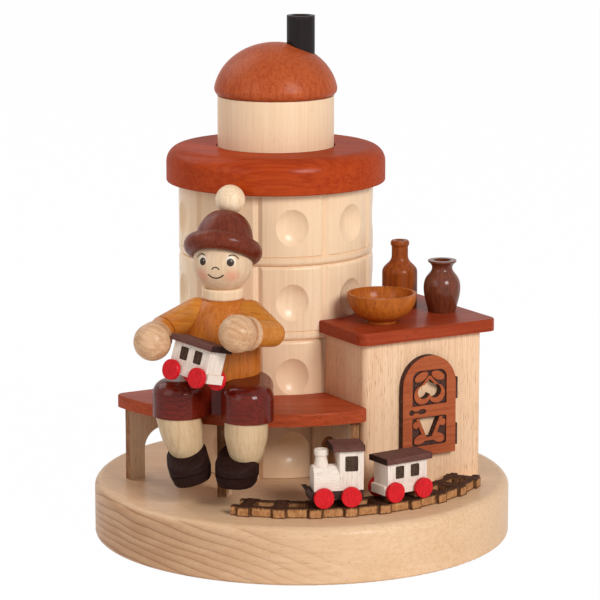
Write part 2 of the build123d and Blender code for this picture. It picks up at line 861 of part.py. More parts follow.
def thigh(side):
    hip = Vector(side * hip_spread, -seat_out)
    knee = Vector(side * knee_spread, -knee_out)
    reach = knee - hip
    outline = Circle(thigh_radius) + Pos(reach.length / 2, 0) * Rectangle(reach.length, 2 * thigh_radius)
    outline += Pos(reach.length, 0) * Circle(thigh_radius)
    leg = extrude(outline, thigh_height)
    leg = fillet(leg.faces().sort_by(Axis.Z)[-1].edges(), thigh_round)
    leg = Location((hip.X, hip.Y, bench_top), (0, 0, degrees(atan2(reach.Y, reach.X)))) * leg
    leg -= boy_axis(upright(seat_radius + glue_gap, seat_height, bench_top))
    leg -= boy_axis(upright(torso_radius + glue_gap, thigh_height, torso_foot))
    one_side = (Align.MAX, Align.CENTER, Align.CENTER)
    other_half = Box(base_radius, 2 * bench_outer, 2 * thigh_height, align=one_side)
    if side < 0:
        other_half = Rot(0, 0, 180) * other_half
    return leg - Pos(0, -seat_out, bench_top + thigh_height / 2) * other_half


def shin_ends(side, lean):
    top = Vector(side * knee_spread, -bench_outer - shin_reach, bench_top)
    return top, top + Vector(-side * lean, 0, -shin_length)


def shin(side, lean):
    """Egg-shaped shin with its round end down, cut level under the knee."""
    top, foot = shin_ends(side, lean)
    length = (top - foot).length
    heel = (shin_heel[0] * shin_radius, shin_heel[1] * length)
    calf = (shin_calf[0] * shin_radius, shin_calf[1] * length)
    edge = Spline((0, 0), heel, calf, (shin_radius, length), tangents=((1, 0), (0, 1)))
    rise = length + shin_radius
    egg = turned(edge, Line((shin_radius, length), (shin_radius, rise)), Line((shin_radius, rise), (0, rise)),
                 Line((0, rise), (0, 0)))
    over = Pos(top.X, top.Y, 0) * board(4 * shin_radius, 4 * shin_radius, 2 * shin_radius, bench_top)
    return Plane(origin=foot, z_dir=top - foot) * egg - over


def shoe(side, lean, turn, inset):
    """Slipper square to its shin: a tapered sole, a groove, and an upper whose rim rises to the heel."""
    ankle = shin_ends(side, lean)[1]
    heel_to_toe = shoe_length - shoe_width
    outline = Rot(0, 0, 90) * SlotCenterToCenter(heel_to_toe, shoe_width)
    waist = Rot(0, 0, 90) * SlotCenterToCenter(heel_to_toe, shoe_width - 2 * shoe_groove)
    sole = Pos(0, 0, shoe_sole_height) * extrude(outline, -shoe_sole_height, taper=shoe_sole_taper)
    sole = fillet(sole.faces().sort_by(Axis.Z)[0].edges(), shoe_sole_round)
    upper = Pos(0, 0, shoe_groove) * extrude(outline, shoe_height - shoe_groove)
    slope = Rot(shoe_slope, 0, 0) * Box(2 * shoe_length, 3 * shoe_length, shoe_height, align=STANDING)
    upper -= Pos(0, 0, shoe_instep_height - shoe_sole_height) * slope
    upper = fillet(upper.faces().sort_by(Axis.Z)[-1].edges(), shoe_upper_round)
    body = sole + Pos(0, 0, shoe_sole_height) * (extrude(waist, shoe_groove) + upper)
    level = base_height + shoe_clearance
    slant = side * lean / shin_length
    middle = ankle.X - slant * (ankle.Z - level) - side * inset
    place = Location((middle, ankle.Y - shoe_toe_shift, level), (0, 0, turn))
    place *= Rot(0, degrees(atan2(slant, 1)), 0)
    return place * body - shin(side, lean)


def torso():
    edge = torso_edge_round
    corner = edge * (1 - sqrt(0.5))
    straight = torso_straight * torso_height
    chest = (torso_chest[0] * torso_radius, torso_chest[1] * torso_height)
    outline = [Line((0, 0), (torso_radius - edge, 0)),
               ThreePointArc((torso_radius - edge, 0), (torso_radius - corner, corner), (torso_radius, edge)),
               Line((torso_radius, edge), (torso_radius, straight)),
               Spline((torso_radius, straight), chest, (torso_top_radius, torso_height),
                      tangents=((0, 1), (-1, 0.6))),
               Line((torso_top_radius, torso_height), (0, torso_height)), Line((0, torso_height), (0, 0))]
    return boy_axis(Pos(0, 0, torso_foot) * turned(*outline))


def head_place():
    return boy_axis(Pos(0, 0, head_middle) * Rot(0, 0, head_turn))


def collar():
    ring = upright(collar_radius, collar_height, torso_top)
    ring = fillet(ring.edges().filter_by(GeomType.CIRCLE), collar_round)
    return boy_axis(ring) - head_place() * Sphere(head_radius + glue_gap)


def head():
    return head_place() * Sphere(head_radius)


def hat_place():
    return head_place() * Pos(0, hat_back, hat_lift) * Rot(-hat_tilt, hat_lean, 0)


def hat():
    roll = hat_brim_radius - hat_crown_radius
    bulge = (hat_bulge[0] * hat_crown_radius, hat_bulge[1] * hat_crown_height)
    side = Spline((hat_crown_radius, 0), bulge, (0, hat_crown_height), tangents=((-0.1, 1), (-1, 0)))
    profile = make_face([Line((0, 0), (hat_crown_radius, 0)), side, Line((0, hat_crown_height), (0, 0))])
    profile += Pos(hat_crown_radius, 0) * Ellipse(roll, hat_brim_thickness / 2)
    shape = revolve(Plane.XZ * profile, Axis.Z)
    return hat_place() * shape - head_place() * Sphere(head_radius + hat_clearance)


def pompom():
    ball = hat_place() * Pos(0, 0, hat_crown_height + pompom_radius - pompom_sink) * Sphere(pompom_radius)
    return ball - hat()


def sleeve(start, end, start_radius, end_radius, start_edge, start_depth):
    """Round sleeve between two points, with a given edge at its start and a ball end."""
    along = end - start
    length = along.length
    ball = end_radius * sqrt(0.5)
    shape = turned(start_edge, Line((start_radius, 0), (end_radius, length)),
                   ThreePointArc((end_radius, length), (ball, length + ball), (0, length + end_radius)),
                   Line((0, length + end_radius), (0, -start_depth)))
    return Plane(origin=start, z_dir=along) * shape


def beyond(point, direction):
    """Large block that lies past a point in a direction."""
    return Plane(origin=point, z_dir=direction) * Box(base_radius, base_radius, base_radius, align=STANDING)


def hand():
    """Ball hand along +Z on a turned cuff, with the ball's middle at the origin."""
    cuff_front = cuff_width - cuff_setback
    wrist = sqrt(hand_radius ** 2 - cuff_front ** 2)
    ball = ThreePointArc((wrist, cuff_front), (hand_radius, 0), (0, hand_radius))
    return turned(Line((0, -cuff_setback), (cuff_radius, -cuff_setback)),
                  Line((cuff_radius, -cuff_setback), (cuff_radius, cuff_front)),
                  Line((cuff_radius, cuff_front), (wrist, cuff_front)), ball,
                  Line((0, hand_radius), (0, -cuff_setback)))


def arm_pieces(shoulder, elbow, palm):
    """Upper arm and forearm that meet in a round elbow, and a hand with its cuff."""
    shoulder = boy_point(shoulder)
    elbow = boy_point(elbow)
    palm = boy_point(palm)
    upper_way = (elbow - shoulder).normalized()
    fore_way = (palm - elbow).normalized()
    mitre = beyond(elbow, upper_way + fore_way)
    round_radius = arm_radius + arm_taper
    ball = round_radius * sqrt(0.5)
    round_start = ThreePointArc((0, -round_radius), (ball, -ball), (round_radius, 0))
    upper = sleeve(shoulder, elbow, round_radius, arm_radius, round_start, round_radius) - mitre - torso()
    upper -= collar()
    flat_start = Line((0, 0), (arm_radius, 0))
    cuff_back = palm - fore_way * cuff_setback
    fore = (sleeve(cuff_back, elbow, arm_radius, arm_radius, flat_start, 0) & mitre) - torso()
    return upper, fore, Plane(origin=palm, z_dir=fore_way) * hand()


def save_boy():
    save("trousers_seat", boy_frame * trousers_seat())
    save("torso", boy_frame * torso())
    save("collar", boy_frame * collar())
    save("head", boy_frame * head())
    save("hat", boy_frame * hat())
    save("pompom", boy_frame * pompom())
    arms = {"right": (right_shoulder, right_elbow, right_palm),
            "left": (left_shoulder, left_elbow, left_palm)}
    leans = {"right": right_shin_lean, "left": left_shin_lean}
    shoes = {"right": (right_shoe_turn, right_shoe_inset), "left": (left_shoe_turn, left_shoe_inset)}
    for name, side in (("right", -1), ("left", 1)):
        save(f"thigh_{name}", boy_frame * thigh(side))
        save(f"shin_{name}", boy_frame * shin(side, leans[name]))
        save(f"shoe_{name}", boy_frame * shoe(side, leans[name], *shoes[name]))
        upper, fore, fist = arm_pieces(*arms[name])
        save(f"upper_arm_{name}", boy_frame * upper)
        save(f"forearm_{name}", boy_frame * fore)
        save(f"hand_{name}", boy_frame * fist)


def save_stove():
    save("base_plate", base_plate())
    for index in range(row_count):
        save(f"stove_row_{index + 1}", stove_row(index))
    save("cornice_ring", cornice_ring())
    save("neck", neck())
    save("dome", dome())
    save("chimney", chimney())
    save("cone_plate", cone_plate(), plate_nail())


def save_furniture():
    save("bench_seat", bench_seat())
    save("bench_legs", *bench_legs())
    save("side_stove", side_stove())
    save("side_stove_top", side_stove_top())
    save("oven_door", oven_door())
    save("bowl", bowl())
    save("bottle", bottle())
    save("jug", jug())


save_stove()
save_furniture()
save("track", track())
save_engine()
save_wagon("wagon", track_frame(wagon_angle))
save_wagon("toy_wagon", toy_place())
save_boy()
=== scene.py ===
import math

import bpy
from mathutils import Matrix, Vector

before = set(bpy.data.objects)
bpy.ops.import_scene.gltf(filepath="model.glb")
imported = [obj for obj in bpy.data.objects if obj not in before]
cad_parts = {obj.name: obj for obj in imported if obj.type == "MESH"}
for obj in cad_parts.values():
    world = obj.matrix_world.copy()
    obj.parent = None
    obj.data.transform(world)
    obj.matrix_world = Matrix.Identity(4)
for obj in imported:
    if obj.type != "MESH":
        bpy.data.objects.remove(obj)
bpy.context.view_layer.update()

MM = 0.001

# Sizes in millimetres and degrees that the finishes share with the solids
STOVE_AXIS = (-8.5, 24.9, 0.0)
CHIMNEY_RIM = (164.2, 165.3)
SIDE_TURN = 30.0
SIDE_FRONT = 56.6
DOOR_THICKNESS = 2.5
BOY_TURN = -17.0
SEAT = (-1.5, -51.0)
HEAD_MIDDLE = 92.4
HEAD_RADIUS = 9.4
HEAD_TURN = 4.9
HAT_TILT = -28.0
HAND_TILT = 20.0
BASE_TOP = 18.0
TRACK_MIDDLE = (-0.4, 5.9)
TRACK_RADIUS = 56.2
TRACK_THICKNESS = 3.0
RAIL_TOP = BASE_TOP + TRACK_THICKNESS
FIRST_SLEEPER = -106.7
SLEEPER_PITCH = 10.5
SLEEPER_WIDTH = 4.0
ENGINE_ANGLE = -79.15
WAGON_ANGLE = -56.2
CAR_WIDTH = 7.4
TOY_SPOT = (-3.5, -75.8, 58.2)
TOY_TURN = -24.0
TOY_TILT = 6.0
TOY_ROLL = -14.0

# Front and back end of the roofs along their cars
LOCO_ROOF = (-1.6, 8.6)
WAGON_ROOF = (-8.7, 8.7)

# Windows of the cars: middle along the car, half width, sill and head
CAB_WINDOWS = [(4.6, 2.05, 11.1, 16.0)]
WAGON_WINDOWS = [(-2.875, 1.65, 7.1, 11.2), (2.875, 1.65, 7.1, 11.2)]
PANE_EDGE = 0.02

# Wood in general: size of its clouds, and how far each kind of mark reaches
CLOUD_WIDTH = 9.0
CLOUD_LENGTH = 26.0
CLOUD_RANGE = (0.3, 0.72)
CLOUD_SHARE = 0.35
STREAK_RANGE = (0.34, 0.7)
STREAK_SHARE = 0.65
STREAK_HEIGHT = 0.4
STREAK_DULLING = 0.08
PORE_SOFTNESS = 0.12
MOTTLE_RANGE = (0.3, 0.7)
WOOD_RELIEF = 0.00003
SAWN_RELIEF = 0.00006
RELIEF_STRENGTH = 0.6
SHEEN = 0.06

# Growth layers of the base board: where its end shows, their slope, bend and spacing
END_GRAIN_FADE = (34, -62)
LAYER_START = 4
LAYER_SLOPE_X = 0.34
LAYER_SLOPE_Y = 0.21
LAYER_BEND = 5
LAYER_NARROWING = 1.3
LAYER_RATE = 0.12

# Shift in millimetres from one turned block's piece of wood to the next one's
BLOCK_SHIFT = (37.0, 61.0)

# Camera in metres and degrees, lens and sensor in millimetres
CAMERA_SPOT = (-0.00056, -0.9195, 0.258)
CAMERA_DIP = 11.21
CAMERA_LENS = 174.06
CAMERA_SENSOR = 36.0
CAMERA_REACH = 20.0

# Lamps: place and width in metres, power in watts
LAMPS = {
    "key": ((0.55, -0.82, 0.6), 0.36, 8.2),
    "fill": ((-0.8, -0.7, 0.6), 0.7, 2.4),
    "side": ((-0.65, 0.4, 0.8), 0.7, 3.4),
}
LAMP_AIM = (0.0, 0.0, 0.08)
ROOM_LIGHT = 0.24

FLOOR_WIDTH = 8.0
FLOOR_GLOW = 0.99
FLOOR_PAINT = (0.9, 0.9, 0.9, 1.0)
WHITE = (1.0, 1.0, 1.0, 1.0)
UP = (0, 0, 1)


def stain(red, green, blue):
    """Linear colour of a stain or paint given in everyday 0 to 255 values."""
    linear = []
    for level in (red, green, blue):
        share = level / 255
        linear.append(share / 12.92 if share <= 0.04045 else ((share + 0.055) / 1.055) ** 2.4)
    return (*linear, 1.0)


def stains(pale, deep, pore):
    """The three colours of a wood: its pale and deep fibres and its pores."""
    return stain(*pale), stain(*deep), stain(*pore)


def place(spot, turn=0.0, axis="Z"):
    """Place in millimetres, turned about one of its axes."""
    return Matrix.Translation(spot) @ Matrix.Rotation(math.radians(turn), 4, axis)


def tilted(turn, axis):
    """Turn about an axis, without a shift."""
    return place((0, 0, 0), turn, axis)


def on_track(angle):
    """Place on the rails at an angle round the track."""
    way = math.radians(angle)
    x = TRACK_MIDDLE[0] + TRACK_RADIUS * math.cos(way)
    y = TRACK_MIDDLE[1] + TRACK_RADIUS * math.sin(way)
    return place((x, y, RAIL_TOP), angle + 90)


whole = Matrix.Identity(4)
stove = place(STOVE_AXIS)
side = place(STOVE_AXIS, SIDE_TURN)
boy = place(STOVE_AXIS, BOY_TURN)
seat = boy @ place((*SEAT, 0.0))
head = boy @ place((*SEAT, HEAD_MIDDLE), HEAD_TURN)
engine = on_track(ENGINE_ANGLE)
wagon = on_track(WAGON_ANGLE)
toy = boy @ place(TOY_SPOT, TOY_TURN) @ tilted(TOY_TILT, "Y") @ tilted(TOY_ROLL, "X")


class Tone:
    """A shader value; sums with it add Math nodes to its tree."""

    def __init__(self, tree, socket):
        self.tree = tree
        self.socket = socket

    def math(self, operation, *values):
        return self.tree.node("Math", {"operation": operation}, dict(enumerate(values)))

    def __add__(self, other):
        return self.math("ADD", self, other)

    def __radd__(self, other):
        return self.math("ADD", other, self)

    def __sub__(self, other):
        return self.math("SUBTRACT", self, other)

    def __rsub__(self, other):
        return self.math("SUBTRACT", other, self)

    def __mul__(self, other):
        return self.math("MULTIPLY", self, other)

    def __rmul__(self, other):
        return self.math("MULTIPLY", other, self)

    def __truediv__(self, other):
        return self.math("DIVIDE", self, other)

    def __rtruediv__(self, other):
        return self.math("DIVIDE", other, self)

    def __pow__(self, other):
        return self.math("POWER", self, other)

    def __rpow__(self, other):
        return self.math("POWER", other, self)

    def __abs__(self):
        return self.math("ABSOLUTE", self)

    def rise(self, low, high):
        """0 below low, 1 above high and a smooth rise between; falls where low is the larger."""
        return self.tree.node("MapRange", {"interpolation_type": "SMOOTHSTEP"},
                              {"Value": self, "From Min": low, "From Max": high})


class Tree:
    """The nodes of a material or of the world."""

    def __init__(self, tree):
        self.nodes = tree.nodes
        self.links = tree.links

    def node(self, kind, settings=None, sockets=None, out=0):
        """One output of a new node with these settings and these values or links on its sockets."""
        made = self.nodes.new("ShaderNode" + kind)
        for name, value in (settings or {}).items():
            setattr(made, name, value)
        for name, value in (sockets or {}).items():
            self.feed(made.inputs[name], value)
        return Tone(self, made.outputs[out])

    def feed(self, socket, value):
        """Link a shader value to a socket, or set a plain value on it."""
        if isinstance(value, Tone):
            self.links.new(value.socket, socket)
        else:
            socket.default_value = value

    def background_rays(self):
        """1 for rays that show the background: from the camera, mirrored or through glass."""
        camera = self.node("LightPath", out="Is Camera Ray")
        rays = camera.socket.node.outputs
        return camera + Tone(self, rays["Is Glossy Ray"]) + Tone(self, rays["Is Transmission Ray"])


class Finish(Tree):
    """One material: a Principled surface and the nodes that feed it."""

    def __init__(self, name):
        self.material = bpy.data.materials.new(name)
        self.material.use_nodes = True
        super().__init__(self.material.node_tree)

    def local(self, where):
        """Position in a piece's own place, in millimetres."""
        spot, turn, _ = where.decompose()
        return self.node("Mapping", {"vector_type": "TEXTURE"},
                         {"Vector": self.node("TexCoord", out="Object"), "Location": spot * MM,
                          "Rotation": turn.to_euler(), "Scale": (MM, MM, MM)})

    def parts(self, vector):
        """The X, Y and Z of a vector."""
        split = self.node("SeparateXYZ", sockets={"Vector": vector}).socket.node
        return [Tone(self, output) for output in split.outputs]

    def noise(self, at, size, detail=3.0, roughness=0.55):
        """Noise whose cells have a size in millimetres along X, Y and Z."""
        spread = self.node("VectorMath", {"operation": "DIVIDE"}, {0: at, 1: size})
        return self.node("TexNoise", sockets={"Vector": spread, "Scale": 1.0, "Detail": detail,
                                              "Roughness": roughness})

    def mottle(self, at, size, detail=3.0):
        """Noise drawn out to go from 0 to 1."""
        return self.noise(at, size, detail).rise(*MOTTLE_RANGE)

    def blend(self, share, first, second):
        """Colour that goes from the first to the second as the share goes from 0 to 1."""
        return self.node("Mix", {"data_type": "RGBA"}, {0: share, 6: first, 7: second}, out=2)

    def normal(self):
        """Direction that the surface faces."""
        return self.node("NewGeometry", out="Normal")

    def upward(self, low, high):
        """1 on surfaces that face up, 0 on upright ones."""
        facing = self.node("VectorMath", {"operation": "DOT_PRODUCT"}, {0: self.normal(), 1: UP},
                           out="Value")
        return facing.rise(low, high)

    def cover(self, colour, roughness, height=None, relief=WOOD_RELIEF, coat=0.0, coat_roughness=0.14,
              sheen=SHEEN, metallic=0.0):
        """Join colour, gloss and relief to the surface."""
        values = {"Base Color": colour, "Roughness": roughness, "Metallic": metallic,
                  "Specular IOR Level": sheen, "Coat Weight": coat, "Coat Roughness": coat_roughness}
        if height is not None:
            values["Normal"] = self.node("Bump", sockets={"Height": height, "Strength": RELIEF_STRENGTH,
                                                          "Distance": relief})
        surface = self.nodes["Principled BSDF"].inputs
        for name, value in values.items():
            self.feed(surface[name], value)
        return self

    def dress(self, *names):
        """Give CAD nodes this finish."""
        for name in names:
            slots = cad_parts[name].data.materials
            slots.clear()
            slots.append(self.material)


def along(fibre, across, length):
    """Cell size that is long along the fibre's axis."""
    size = [across, across, across]
    size["XYZ".index(fibre)] = length
    return size


def timber(finish, at, colours, fibre="Z", pore_share=0.6, pore_length=3.2, pore_size=0.3,
           pore_edge=0.6, streak=1.0, streak_length=30.0):
    """Colour, streaks and height of wood with fibres, soft clouds and short dark pores."""
    pale, deep, pore = colours
    streaks = finish.noise(at, along(fibre, streak, streak_length), 4.0).rise(*STREAK_RANGE)
    clouds = finish.noise(at, along(fibre, CLOUD_WIDTH, CLOUD_LENGTH), 2.0).rise(*CLOUD_RANGE)
    pores = finish.noise(at, along(fibre, pore_size, pore_length), 2.0, 0.4)
    pores = pores.rise(pore_edge, pore_edge + PORE_SOFTNESS)
    tone = finish.blend(streaks * STREAK_SHARE + clouds * CLOUD_SHARE, pale, deep)
    colour = finish.blend(pores * pore_share, tone, pore)
    return colour, streaks, streaks * STREAK_HEIGHT - pores


def lacquered(name, where, colours, fibre="Z", gloss=0.42, dulling=STREAK_DULLING, coat=0.2,
              coat_roughness=0.16, sheen=SHEEN, **wood):
    """Wood under a thin satin lacquer."""
    finish = Finish(name)
    colour, streaks, height = timber(finish, finish.local(where), colours, fibre, **wood)
    return finish.cover(colour, gloss + streaks * dulling, height, coat=coat,
                        coat_roughness=coat_roughness, sheen=sheen)


def base_finish():
    """Board with fibres along X, whose slanting growth layers show round its left end."""
    finish = Finish("base_board")
    at = finish.local(whole)
    x, y, z = finish.parts(at)
    colour, streaks, height = timber(
        finish, at, stains((237, 200, 162), (225, 184, 143), (176, 122, 82)), "X",
        pore_length=3.0, pore_size=0.26, pore_edge=0.62)
    upward = finish.upward(0.5, 0.9)
    end = x.rise(*END_GRAIN_FADE)
    bend = finish.noise(at, (46, 40, 16), 2.0) * LAYER_BEND
    depth = LAYER_START - (z + x * LAYER_SLOPE_X + y * LAYER_SLOPE_Y + bend)
    layers = (depth ** LAYER_NARROWING) * LAYER_RATE
    year = layers.math("FRACT", layers)
    late = year.rise(0.25, 0.9) * 0.45 + year.rise(0.74, 0.9) * 0.55
    late = late * year.rise(1.0, 0.93)
    shade = finish.mottle(at, (14, 14, 3))
    colour = finish.blend(end * (0.5 + shade * 0.25) * (1 - upward * 0.6), colour, stain(186, 136, 98))
    colour = finish.blend(late * end * (1 - upward * 0.85) * 0.62, colour, stain(140, 88, 56))
    return finish.cover(colour, 0.42 + streaks * STREAK_DULLING, height, coat=0.15)


def row_finish(index, pale):
    """Turned block of the tiled stove, each from its own piece of wood."""
    spot = stove @ place((BLOCK_SHIFT[0] * index, BLOCK_SHIFT[1] * index, 0.0))
    return lacquered(f"stove_wood_{index + 1}", spot, stains(pale, (241, 205, 166), (214, 168, 124)),
                     gloss=0.36, dulling=0.07, coat=0.4, coat_roughness=0.2,
                     pore_share=0.25, pore_length=2.6, pore_size=0.28, pore_edge=0.64)


def leg_finish():
    """Thin sawn boards, burnt brown along their cut edges."""
    finish = Finish("bench_leg_wood")
    at = finish.local(stove)
    x, y, _ = finish.parts(at)
    colour, streaks, height = timber(
        finish, at, stains((232, 204, 172), (216, 184, 150), (160, 114, 80)), pore_share=0.3)
    reach = (x ** 2 + y ** 2) ** 0.5
    across_x, across_y, _ = finish.parts(finish.normal())
    face = abs((across_y * x - across_x * y) / reach)
    burnt = finish.noise(at, (1.2, 1.2, 5.0)).rise(0.25, 0.6)
    sawn = finish.blend(burnt, stain(180, 134, 94), stain(134, 88, 58))
    colour = finish.blend(face.rise(0.7, 0.5), colour, sawn)
    return finish.cover(colour, 0.55 + streaks * STREAK_DULLING, height)


def door_finish():
    """Cut plate with a burnt engraved ground, and burnt edges where the cut went through."""
    finish = Finish("oven_door_stain")
    at = finish.local(side)
    _, y, _ = finish.parts(at)
    colour, _, height = timber(
        finish, at, stains((182, 96, 58), (156, 75, 43), (108, 45, 24)), "X",
        pore_share=0.5, pore_length=2.0)
    depth = -1 * y - SIDE_FRONT
    below = depth.rise(DOOR_THICKNESS - 0.1, DOOR_THICKNESS - 0.3)
    ground = finish.blend(finish.mottle(at, (0.9, 0.9, 0.9)), stain(92, 62, 54), stain(58, 36, 30))
    colour = finish.blend(below, colour, ground)
    return finish.cover(colour, 0.5 + below * 0.25, height, coat=0.08)


def track_finish():
    """Track cut from one sheet: dark on top, lighter down its cut sides, scorched at the edges."""
    finish = Finish("track_wood")
    at = finish.local(place((*TRACK_MIDDLE, BASE_TOP)))
    x, y, z = finish.parts(at)
    grain = finish.mottle(at, (1.4, 1.4, 1.4), 4.0)
    fine = finish.mottle(at, (0.3, 0.3, 1.4))
    top = finish.blend(grain, stain(86, 52, 36), stain(52, 30, 21))
    cut = finish.blend(grain * 0.5 + fine * 0.5, stain(206, 154, 104), stain(150, 98, 58))

    # Distance from the middle of the nearest sleeper, counted round the track
    angle = y.math("ARCTAN2", y, x) * (180 / math.pi)
    count = (angle - FIRST_SLEEPER) / SLEEPER_PITCH + 20.5
    across = abs(count.math("FRACT", count) - 0.5) * (math.radians(SLEEPER_PITCH) * TRACK_RADIUS)

    edge = abs(across - SLEEPER_WIDTH / 2).rise(0.75, 0.2)
    half = TRACK_THICKNESS / 2
    rim = abs(z - half).rise(half - 0.7, half - 0.1)
    burnt = (edge + rim).rise(0.1, 1.0) * (0.55 + fine * 0.45)
    sides = finish.blend(burnt, cut, stain(58, 32, 20))
    top = finish.blend(edge * 0.6, top, stain(34, 19, 13))
    colour = finish.blend(finish.upward(0.4, 0.7), sides, top)
    return finish.cover(colour, 0.62 + grain * 0.1, grain, SAWN_RELIEF, sheen=0.1)


def car_finish(name, where, windows):
    """White-washed car side with the grain showing through, and dark panes in its window pockets."""
    finish = Finish(name)
    at = finish.local(where)
    x, y, z = finish.parts(at)
    colour, streaks, height = timber(
        finish, at, stains((242, 229, 216), (226, 206, 190), (176, 146, 124)), pore_share=0.55,
        pore_length=2.2, pore_size=0.24, pore_edge=0.62, streak=0.6, streak_length=9.0)
    pane = finish.blend(finish.mottle(at, (0.8, 0.8, 0.8)), stain(86, 66, 54), stain(58, 44, 36))
    pocket = abs(y).rise(CAR_WIDTH / 2 - 0.12, CAR_WIDTH / 2 - 0.25)
    opening = 0
    for middle, reach, sill, top in windows:
        across = abs(x - middle).rise(reach + PANE_EDGE, reach)
        upright = z.rise(sill, sill + PANE_EDGE) * z.rise(top + PANE_EDGE, top)
        opening = opening + across * upright
    colour = finish.blend(pocket * opening, colour, pane)
    return finish.cover(colour, 0.55 + streaks * STREAK_DULLING, height)


def roof_finish(name, where, ends):
    """Brown board, nearly black on its sawn ends."""
    finish = Finish(name)
    at = finish.local(where)
    x, _, _ = finish.parts(at)
    colour, streaks, height = timber(
        finish, at, stains((112, 74, 66), (86, 52, 46), (54, 29, 25)), "X", pore_share=0.7,
        pore_length=4.0, pore_size=0.22, pore_edge=0.56, streak=0.5, streak_length=14.0)
    front, back = ends
    middle = (front + back) / 2
    reach = (back - front) / 2
    end = abs(x - middle).rise(reach - 0.35, reach - 0.1)
    colour = finish.blend(end * 0.85, colour, stain(38, 24, 21))
    return finish.cover(colour, 0.5 + streaks * 0.1, height)


def white_finish(name, where, fibre):
    """White-washed wood with fine lines of grain."""
    return lacquered(name, where, stains((243, 229, 215), (228, 208, 192), (180, 150, 128)), fibre,
                     gloss=0.55, coat=0.0, pore_share=0.5, pore_length=2.2, pore_size=0.24,
                     pore_edge=0.62, streak=0.6, streak_length=9.0)


def wheel_finish():
    """Red paint with faint brush marks."""
    finish = Finish("wheel_paint")
    brush = finish.mottle(finish.local(whole), (0.5, 0.5, 1.8))
    colour = finish.blend(brush, stain(222, 32, 40), stain(196, 18, 28))
    return finish.cover(colour, 0.42 + brush * 0.1, brush, coat=0.2)


def axle_finish():
    """Drawn steel wire."""
    finish = Finish("axle_wire")
    drawn = finish.noise(finish.local(whole), (0.2, 2.0, 0.2), 2.0)
    colour = finish.blend(drawn, stain(190, 188, 184), stain(140, 138, 134))
    return finish.cover(colour, 0.32 + drawn * 0.15, metallic=1.0)


def plate_finish():
    """Thin pressed brass, dulled by smoke towards its middle."""
    finish = Finish("plate_metal")
    at = finish.local(stove)
    x, y, _ = finish.parts(at)
    smoke = ((x ** 2 + y ** 2) ** 0.5).rise(14, 2)
    marks = finish.noise(at, (2.0, 2.0, 2.0), 4.0)
    colour = finish.blend(smoke * 0.7 + marks * 0.2, stain(190, 160, 90), stain(84, 68, 46))
    return finish.cover(colour, 0.3 + marks * 0.25, metallic=1.0)


def pipe_finish():
    """Black-brown stained pipe, lighter in patches round its mouth."""
    finish = Finish("chimney_stain")
    at = finish.local(stove)
    _, _, z = finish.parts(at)
    colour, streaks, height = timber(
        finish, at, stains((37, 29, 28), (26, 19, 19), (14, 9, 9)), pore_length=2.0, pore_size=0.25)
    # Lighter patches over the top millimetre or so of the pipe, by height alone
    lighter_rim = z.rise(*CHIMNEY_RIM) * finish.noise(at, (1.0, 1.0, 1.0)).rise(0.35, 0.7)
    colour = finish.blend(lighter_rim * 0.35, colour, stain(96, 78, 70))
    return finish.cover(colour, 0.4 + streaks * 0.1, height, coat=0.35, coat_roughness=0.18, sheen=0.0)


def face_finish():
    """Pale turned ball with a painted face."""
    finish = Finish("face_paint")
    at = finish.local(head)
    x, y, z = finish.parts(at)
    colour, streaks, height = timber(
        finish, at, stains((234, 205, 173), (221, 187, 151), (190, 148, 110)),
        pore_share=0.4, pore_length=2.4, pore_size=0.26, pore_edge=0.62)
    round_face = x.math("ARCTAN2", x, -1 * y) * HEAD_RADIUS
    lift = z / HEAD_RADIUS
    up_face = lift.math("ARCSINE", lift) * HEAD_RADIUS

    def spot(across, up, wide, tall, soft):
        """Oval patch of paint, in millimetres from the middle of the face."""
        gap = (((round_face - across) / wide) ** 2 + ((up_face - up) / tall) ** 2) ** 0.5
        return gap.rise(1 + soft, 1 - soft)

    def stroke(across, up, radius, width, heading, sweep, soft=0.08):
        """Brush stroke along an arc, fading at its ends."""
        u = round_face - across
        v = up_face - up
        line = abs((u ** 2 + v ** 2) ** 0.5 - radius)
        way = math.radians(heading)
        towards = (u * math.cos(way) + v * math.sin(way)) / radius
        limit = math.cos(math.radians(sweep))
        return line.rise(width / 2 + soft, width / 2 - soft) * towards.rise(limit - 0.03, limit + 0.04)

    for hand in (-1, 1):
        cheek = spot(hand * 5.4, -2.8, wide=2.3, tall=1.9, soft=0.75)
        white = spot(hand * 4.95, 2.1, wide=1.62, tall=1.5, soft=0.25)
        iris = spot(hand * 4.72, 1.65, wide=1.26, tall=1.24, soft=0.12)
        glint = spot(hand * 4.72 + 0.4, 2.1, wide=0.3, tall=0.3, soft=0.4)
        brow = stroke(hand * 5.5, 1.6, radius=2.38, width=0.42, heading=90 - hand * 18, sweep=50)
        colour = finish.blend(cheek * 0.5, colour, stain(232, 140, 112))
        colour = finish.blend(white * 0.6, colour, stain(248, 242, 230))
        colour = finish.blend(iris, colour, stain(64, 50, 42))
        colour = finish.blend(glint * 0.6, colour, stain(190, 180, 170))
        colour = finish.blend(brow, colour, stain(52, 44, 38))
    nose = stroke(-0.06, -1.0, radius=1.18, width=0.38, heading=90, sweep=74)
    mouth = stroke(-0.09, -0.16, radius=3.29, width=0.48, heading=-90, sweep=52)
    colour = finish.blend(nose, colour, stain(50, 28, 18))
    colour = finish.blend(mouth, colour, stain(50, 24, 14))
    return finish.cover(colour, 0.45 + streaks * STREAK_DULLING, height, coat=0.1)


